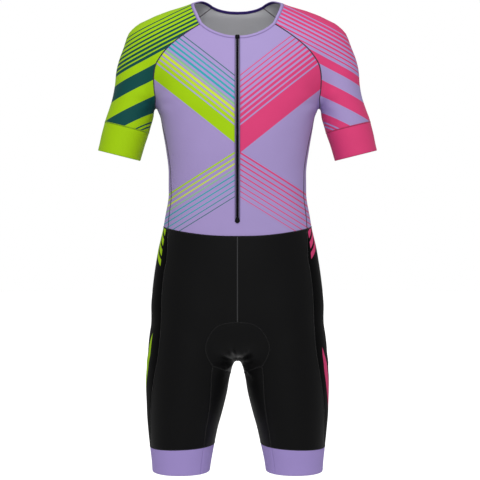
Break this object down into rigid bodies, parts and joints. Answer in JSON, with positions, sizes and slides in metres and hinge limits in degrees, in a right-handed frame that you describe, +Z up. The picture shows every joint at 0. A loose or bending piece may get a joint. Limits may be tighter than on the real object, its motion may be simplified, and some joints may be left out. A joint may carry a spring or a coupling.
{
  "type": "triathlon suit",
  "caption": "Short-sleeved one-piece triathlon suit, worn and hollow: raglan sleeves, front zip, padded shorts with gripper leg bands.",
  "frame": {"origin": "middle of the line between the tops of the two shoulder seams at the neck, at the height where the suit hangs on the wearer", "axes": "+Z up the wearer's body, -Y out of the front with the zip, +X to the wearer's left"},
  "size_m": [0.529, 0.2409, 0.8927],
  "materials": {
    "lavender_knit": "matt polyester knit",
    "lime_knit": "matt polyester knit",
    "pink_knit": "matt polyester knit",
    "black_knit": "smooth polyester knit",
    "pad_cover": "soft knit over a thin pad",
    "zip_tape": "woven tape with coil teeth",
    "dark_metal": "satin black paint"
  },
  "bodies": {
    "suit": {"back": "lavender_knit", "crotch_gusset": "pad_cover", "cuff_left": "pink_knit", "cuff_right": "lime_knit", "front": "lavender_knit", "inner_leg_left": "black_knit", "inner_leg_right": "black_knit", "leg_band_left": "lavender_knit", "leg_band_right": "lavender_knit", "neck_binding": "lavender_knit", "shorts_back_left": "black_knit", "shorts_back_right": "black_knit", "shorts_front_left": "black_knit", "shorts_front_right": "black_knit", "shorts_side_left": "black_knit", "shorts_side_right": "black_knit", "sleeve_left": "pink_knit", "sleeve_right": "lime_knit", "zip_bottom_stop": "dark_metal", "zip_slider": "dark_metal", "zip_tape": "zip_tape"},
    "zip_pull": {"zip_pull": "dark_metal"}
  },
  "joints": [
    {"name": "zip_pull_hinge", "type": "hinge", "parent": "suit", "child": "zip_pull", "pos_m": [0, -0.09234, -0.07331], "axis": [-1, 0, 0], "range_deg": [0, 150]}
  ]
}
